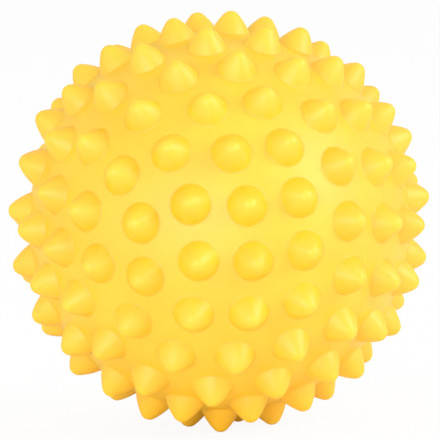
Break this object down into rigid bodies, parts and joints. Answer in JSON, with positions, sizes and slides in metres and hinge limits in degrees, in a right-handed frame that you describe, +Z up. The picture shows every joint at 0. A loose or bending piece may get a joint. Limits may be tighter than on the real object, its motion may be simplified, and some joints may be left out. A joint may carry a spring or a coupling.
{
  "type": "sensory ball",
  "caption": "Soft hollow ball covered with rounded conical nubs in rings, with a flush air valve and a pull-out plug, for gripping, rolling and massage.",
  "frame": {"origin": "on the floor, straight below the ball's centre, as the ball stands on three neighbouring nubs", "axes": "+Z up; the picture's camera looks along +Y with +X to the right; the air valve is on the +X +Y side, almost level"},
  "size_m": [0.0995, 0.0993, 0.099],
  "materials": {
    "soft_yellow": "soft satin moulded vinyl, slightly translucent",
    "valve_soft_yellow": "soft satin moulded vinyl",
    "plug_ivory": "smooth semi-gloss"
  },
  "bodies": {
    "ball": {"ball_shell": "soft_yellow", "valve_seat": "valve_soft_yellow"},
    "plug": {"valve_plug": "plug_ivory"}
  },
  "joints": [
    {"name": "plug_pull", "type": "slide", "parent": "ball", "child": "plug", "axis": [0.8122, 0.5803, 0.0605], "range_m": [0, 0.016]}
  ]
}
